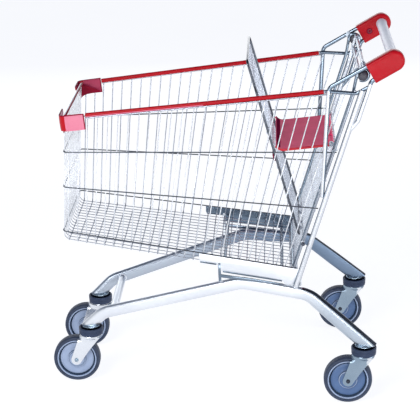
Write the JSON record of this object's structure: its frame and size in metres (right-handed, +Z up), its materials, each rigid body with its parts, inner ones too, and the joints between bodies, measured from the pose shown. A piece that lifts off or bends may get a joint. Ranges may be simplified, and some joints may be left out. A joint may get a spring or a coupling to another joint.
{
  "type": "shopping cart",
  "caption": "Supermarket shopping cart: wire basket on two splayed legs with swivel casters, folding child seat on a swinging rear gate, red plastic trim and capped handle.",
  "frame": {"origin": "on the floor under the middle of the cart's bounding box", "axes": "+X towards the handle, -X towards the nose, +Y towards the cart's right-hand side for someone pushing it, +Z up"},
  "size_m": [0.9085, 0.566, 0.922],
  "materials": {
    "tyre_rubber": "soft grey-blue tread rubber",
    "rim_plastic": "moulded blue-grey plastic",
    "guard_plastic": "dark blue-grey moulded plastic",
    "fork_zinc": "pressed steel, bright zinc plated",
    "fastener_zinc": "zinc plated fastener steel",
    "seat_plastic": "red moulded plastic",
    "red_plastic": "red moulded plastic",
    "handle_coating": "pale grey plastic tube",
    "bush_plastic": "dark moulded plastic",
    "chassis_steel": "bright zinc and clear lacquer",
    "wire_steel": "bright zinc plated wire"
  },
  "bodies": {
    "cart": {"base_bars": "wire_steel", "cap_screws": "fastener_zinc", "caster_heads": "fastener_zinc", "corner_bumper_left": "red_plastic", "corner_bumper_right": "red_plastic", "floor_mesh": "wire_steel", "front_cross_tube": "chassis_steel", "front_mesh": "wire_steel", "front_struts": "chassis_steel", "front_top_rail": "wire_steel", "handle_bar": "handle_coating", "handle_cap_left": "red_plastic", "handle_cap_right": "red_plastic", "handle_loop_left": "wire_steel", "handle_loop_right": "wire_steel", "hinge_brackets": "wire_steel", "leg_left": "chassis_steel", "leg_right": "chassis_steel", "rail_sleeve_left": "red_plastic", "rail_sleeve_right": "red_plastic", "rear_sill": "wire_steel", "side_mesh_left": "wire_steel", "side_mesh_right": "wire_steel", "side_plate_left": "chassis_steel", "side_plate_right": "chassis_steel", "top_rail_left": "wire_steel", "top_rail_right": "wire_steel", "upright_left": "chassis_steel", "upright_right": "chassis_steel"},
    "gate": {"gate_top_bars": "wire_steel", "gate_mesh": "wire_steel", "hinge_bushes": "bush_plastic", "pivot_lugs": "wire_steel", "seat_pin": "wire_steel"},
    "backrest": {"backrest": "wire_steel", "seat_strip": "seat_plastic"},
    "seat": {"seat": "seat_plastic"},
    "swivel_front_left": {"fork_front_left": "fork_zinc", "guard_front_left": "guard_plastic", "axle_front_left": "fastener_zinc"},
    "wheel_front_left": {"rim_front_left": "rim_plastic", "tyre_front_left": "tyre_rubber"},
    "swivel_front_right": {"fork_front_right": "fork_zinc", "guard_front_right": "guard_plastic", "axle_front_right": "fastener_zinc"},
    "wheel_front_right": {"rim_front_right": "rim_plastic", "tyre_front_right": "tyre_rubber"},
    "swivel_rear_left": {"fork_rear_left": "fork_zinc", "guard_rear_left": "guard_plastic", "axle_rear_left": "fastener_zinc"},
    "wheel_rear_left": {"rim_rear_left": "rim_plastic", "tyre_rear_left": "tyre_rubber"},
    "swivel_rear_right": {"fork_rear_right": "fork_zinc", "guard_rear_right": "guard_plastic", "axle_rear_right": "fastener_zinc"},
    "wheel_rear_right": {"rim_rear_right": "rim_plastic", "tyre_rear_right": "tyre_rubber"}
  },
  "joints": [
    {"name": "gate_hinge", "type": "hinge", "parent": "cart", "child": "gate", "pos_m": [0.35475, 0, 0.855], "axis": [0, 1, 0], "range_deg": [0, 62]},
    {"name": "backrest_hinge", "type": "hinge", "parent": "gate", "child": "backrest", "pos_m": [0.20183, 0, 0.42001], "axis": [0, 1, 0], "range_deg": [0, 24]},
    {"name": "seat_hinge", "type": "hinge", "parent": "gate", "child": "seat", "pos_m": [0.282, 0, 0.66313], "axis": [0, 1, 0], "range_deg": [0, 110.4]},
    {"name": "swivel_turn_front_left", "type": "hinge", "parent": "cart", "child": "swivel_front_left", "pos_m": [-0.35175, -0.117, 0.132], "axis": [0, 0, 1], "continuous": true},
    {"name": "wheel_spin_front_left", "type": "hinge", "parent": "swivel_front_left", "child": "wheel_front_left", "pos_m": [-0.39175, -0.117, 0.0625], "axis": [0, 1, 0], "continuous": true},
    {"name": "swivel_turn_front_right", "type": "hinge", "parent": "cart", "child": "swivel_front_right", "pos_m": [-0.35175, 0.117, 0.132], "axis": [0, 0, 1], "continuous": true},
    {"name": "wheel_spin_front_right", "type": "hinge", "parent": "swivel_front_right", "child": "wheel_front_right", "pos_m": [-0.39175, 0.117, 0.0625], "axis": [0, 1, 0], "continuous": true},
    {"name": "swivel_turn_rear_left", "type": "hinge", "parent": "cart", "child": "swivel_rear_left", "pos_m": [0.36625, -0.25055, 0.132], "axis": [0, 0, 1], "continuous": true},
    {"name": "wheel_spin_rear_left", "type": "hinge", "parent": "swivel_rear_left", "child": "wheel_rear_left", "pos_m": [0.32625, -0.25055, 0.0625], "axis": [0, 1, 0], "continuous": true},
    {"name": "swivel_turn_rear_right", "type": "hinge", "parent": "cart", "child": "swivel_rear_right", "pos_m": [0.36625, 0.25055, 0.132], "axis": [0, 0, 1], "continuous": true},
    {"name": "wheel_spin_rear_right", "type": "hinge", "parent": "swivel_rear_right", "child": "wheel_rear_right", "pos_m": [0.32625, 0.25055, 0.0625], "axis": [0, 1, 0], "continuous": true}
  ],
  "couplings": [
    {"joint": "seat_hinge", "follows": "backrest_hinge", "ratio": 4.6}
  ]
}
